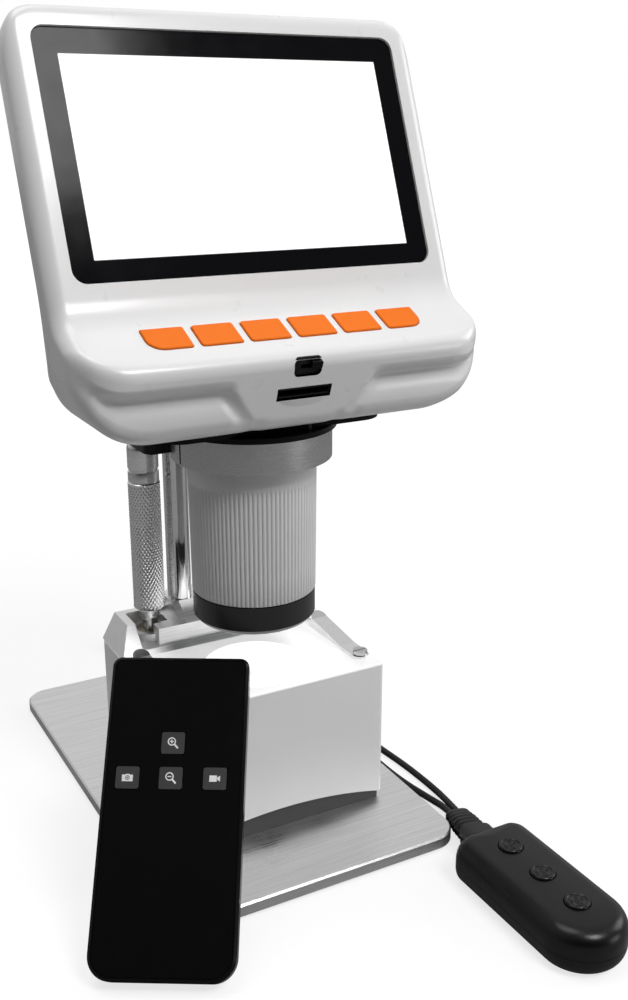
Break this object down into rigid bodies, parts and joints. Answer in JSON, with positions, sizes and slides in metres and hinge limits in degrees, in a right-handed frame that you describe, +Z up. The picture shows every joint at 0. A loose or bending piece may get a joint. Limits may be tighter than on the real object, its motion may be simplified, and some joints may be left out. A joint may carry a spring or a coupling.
{
  "type": "digital microscope",
  "caption": "Desktop digital microscope: tilted screen head with keys, ribbed focus barrel, screw-lift column, lit stage box on a plate, wired controller and handheld remote",
  "frame": {"origin": "on the table, under the optical axis, on the underside of the anti-slip pad", "axes": "+X to the viewer's right, +Y to the back, +Z up; the screen faces -Y and leans back"},
  "size_m": [0.1375, 0.2632, 0.2423],
  "materials": {
    "anti_slip_rubber": "matte",
    "plate_metal": "brushed",
    "plinth_plastic": "satin",
    "white_plastic": "satin",
    "frosted_window": "frosted",
    "circuit_board": "satin",
    "socket_plastic": "matte",
    "clip_steel": "polished",
    "screw_steel": "satin",
    "saddle_metal": "satin",
    "nut_brass": "machined",
    "rod_steel": "polished",
    "knurled_metal": "knurled",
    "carriage_black": "satin",
    "holder_metal": "turned",
    "focus_grey": "ribbed",
    "barrel_black": "satin",
    "clear_cover": "clear",
    "lens_glass": "clear",
    "head_white": "satin",
    "screen_glass": "gloss",
    "lcd": "lit",
    "key_orange": "satin",
    "black_plastic": "gloss",
    "remote_key": "satin",
    "controller_black": "satin",
    "cord_rubber": "satin",
    "tin_metal": "satin"
  },
  "bodies": {
    "stand": {"base_plate": "plate_metal", "base_pad": "anti_slip_rubber", "light_box_plinth": "plinth_plastic", "light_box_shell": "white_plastic", "stage_window": "frosted_window", "light_board": "circuit_board", "power_socket": "socket_plastic", "stage_clip_screws": "screw_steel", "column_saddle": "saddle_metal", "lift_nut": "nut_brass", "controller_upper_case": "controller_black", "controller_lower_case": "controller_black", "cord_relief": "cord_rubber", "lamp_cord": "cord_rubber", "lamp_plug": "socket_plastic", "usb_cord": "cord_rubber", "usb_cord_coil": "cord_rubber", "usb_plug": "socket_plastic"},
    "clip_left": {"stage_clip_left": "clip_steel"},
    "clip_right": {"stage_clip_right": "clip_steel"},
    "carriage": {"carriage_block": "carriage_black", "guide_rods": "rod_steel", "holder_ring": "holder_metal", "holder_screw": "screw_steel"},
    "lift_knob": {"lift_handle": "knurled_metal", "lift_screw": "rod_steel"},
    "head": {"head_front_shell": "head_white", "head_rear_shell": "head_white", "screen_glass": "screen_glass", "lcd_panel": "lcd", "main_board": "circuit_board", "key_board": "circuit_board", "sensor_board": "circuit_board", "card_socket": "tin_metal", "switch_body": "tin_metal", "head_screws": "screw_steel", "neck_plate": "carriage_black", "barrel_core": "barrel_black", "end_ring": "barrel_black", "front_cover": "clear_cover", "ring_light_board": "circuit_board"},
    "focus_grip": {"focus_ring": "focus_grey"},
    "lens_carrier": {"lens_cell": "barrel_black", "lens_glass": "lens_glass"},
    "power_knob": {"power_slider": "black_plastic"},
    "remote": {"remote_case": "black_plastic", "remote_faceplate": "black_plastic"},
    "screen_button_1": {"screen_key_1": "key_orange"},
    "screen_button_2": {"screen_key_2": "key_orange"},
    "screen_button_3": {"screen_key_3": "key_orange"},
    "screen_button_4": {"screen_key_4": "key_orange"},
    "screen_button_5": {"screen_key_5": "key_orange"},
    "screen_button_6": {"screen_key_6": "key_orange"},
    "remote_zoom_in_button": {"remote_zoom_in_key": "remote_key"},
    "remote_photo_button": {"remote_photo_key": "remote_key"},
    "remote_zoom_out_button": {"remote_zoom_out_key": "remote_key"},
    "remote_video_button": {"remote_video_key": "remote_key"},
    "controller_button_1": {"controller_key_1": "controller_black"},
    "controller_button_2": {"controller_key_2": "controller_black"},
    "controller_button_3": {"controller_key_3": "controller_black"}
  },
  "joints": [
    {"name": "clip_left_swing", "type": "hinge", "parent": "stand", "child": "clip_left", "pos_m": [-0.0315, -0.011, 0.053], "axis": [0, 0, -1], "range_deg": [0, 60]},
    {"name": "clip_right_swing", "type": "hinge", "parent": "stand", "child": "clip_right", "pos_m": [0.0315, -0.011, 0.053], "axis": [0, 0, 1], "range_deg": [0, 60]},
    {"name": "carriage_lift", "type": "slide", "parent": "stand", "child": "carriage", "axis": [0, 0, 1], "range_m": [0, 0.024]},
    {"name": "handle_turn", "type": "hinge", "parent": "carriage", "child": "lift_knob", "pos_m": [-0.0219, 0.033, 0.09], "axis": [0, 0, 1], "range_deg": [0, 4320]},
    {"name": "head_swivel", "type": "hinge", "parent": "carriage", "child": "head", "pos_m": [0, 0, 0.13], "axis": [0, 0, 1], "range_deg": [-90, 90]},
    {"name": "focus_turn", "type": "hinge", "parent": "head", "child": "focus_grip", "pos_m": [0, 0, 0.1], "axis": [0, 0, 1], "range_deg": [-135, 135]},
    {"name": "lens_travel", "type": "slide", "parent": "head", "child": "lens_carrier", "axis": [0, 0, 1], "range_m": [-0.00398, 0.00398]},
    {"name": "power_slide", "type": "slide", "parent": "head", "child": "power_knob", "axis": [-1, 0, 0], "range_m": [0, 0.003]},
    {"name": "screen_key_1_press", "type": "slide", "parent": "head", "child": "screen_button_1", "axis": [0, 0.4226, -0.9063], "range_m": [0, 0.0006], "stiffness_N_per_m": 800, "springref_m": -0.0005},
    {"name": "screen_key_2_press", "type": "slide", "parent": "head", "child": "screen_button_2", "axis": [0, 0.4226, -0.9063], "range_m": [0, 0.0006], "stiffness_N_per_m": 800, "springref_m": -0.0005},
    {"name": "screen_key_3_press", "type": "slide", "parent": "head", "child": "screen_button_3", "axis": [0, 0.4226, -0.9063], "range_m": [0, 0.0006], "stiffness_N_per_m": 800, "springref_m": -0.0005},
    {"name": "screen_key_4_press", "type": "slide", "parent": "head", "child": "screen_button_4", "axis": [0, 0.4226, -0.9063], "range_m": [0, 0.0006], "stiffness_N_per_m": 800, "springref_m": -0.0005},
    {"name": "screen_key_5_press", "type": "slide", "parent": "head", "child": "screen_button_5", "axis": [0, 0.4226, -0.9063], "range_m": [0, 0.0006], "stiffness_N_per_m": 800, "springref_m": -0.0005},
    {"name": "screen_key_6_press", "type": "slide", "parent": "head", "child": "screen_button_6", "axis": [0, 0.4226, -0.9063], "range_m": [0, 0.0006], "stiffness_N_per_m": 800, "springref_m": -0.0005},
    {"name": "remote_lift_off", "type": "slide", "parent": "stand", "child": "remote", "axis": [-0.3755, -0.6413, 0.6691], "range_m": [0, 0.08]},
    {"name": "remote_zoom_in_press", "type": "slide", "parent": "remote", "child": "remote_zoom_in_button", "axis": [0.3755, 0.6413, -0.6691], "range_m": [0, 0.0004], "stiffness_N_per_m": 600, "springref_m": -0.0005},
    {"name": "remote_photo_press", "type": "slide", "parent": "remote", "child": "remote_photo_button", "axis": [0.3755, 0.6413, -0.6691], "range_m": [0, 0.0004], "stiffness_N_per_m": 600, "springref_m": -0.0005},
    {"name": "remote_zoom_out_press", "type": "slide", "parent": "remote", "child": "remote_zoom_out_button", "axis": [0.3755, 0.6413, -0.6691], "range_m": [0, 0.0004], "stiffness_N_per_m": 600, "springref_m": -0.0005},
    {"name": "remote_video_press", "type": "slide", "parent": "remote", "child": "remote_video_button", "axis": [0.3755, 0.6413, -0.6691], "range_m": [0, 0.0004], "stiffness_N_per_m": 600, "springref_m": -0.0005},
    {"name": "controller_key_1_press", "type": "slide", "parent": "stand", "child": "controller_button_1", "axis": [0, 0, -1], "range_m": [0, 0.0005], "stiffness_N_per_m": 600, "springref_m": -0.0005},
    {"name": "controller_key_2_press", "type": "slide", "parent": "stand", "child": "controller_button_2", "axis": [0, 0, -1], "range_m": [0, 0.0005], "stiffness_N_per_m": 600, "springref_m": -0.0005},
    {"name": "controller_key_3_press", "type": "slide", "parent": "stand", "child": "controller_button_3", "axis": [0, 0, -1], "range_m": [0, 0.0005], "stiffness_N_per_m": 600, "springref_m": -0.0005}
  ],
  "couplings": [
    {"joint": "handle_turn", "follows": "carriage_lift", "rad_per_m": 3141.6},
    {"joint": "focus_turn", "follows": "lens_travel", "rad_per_m": 591.7}
  ]
}
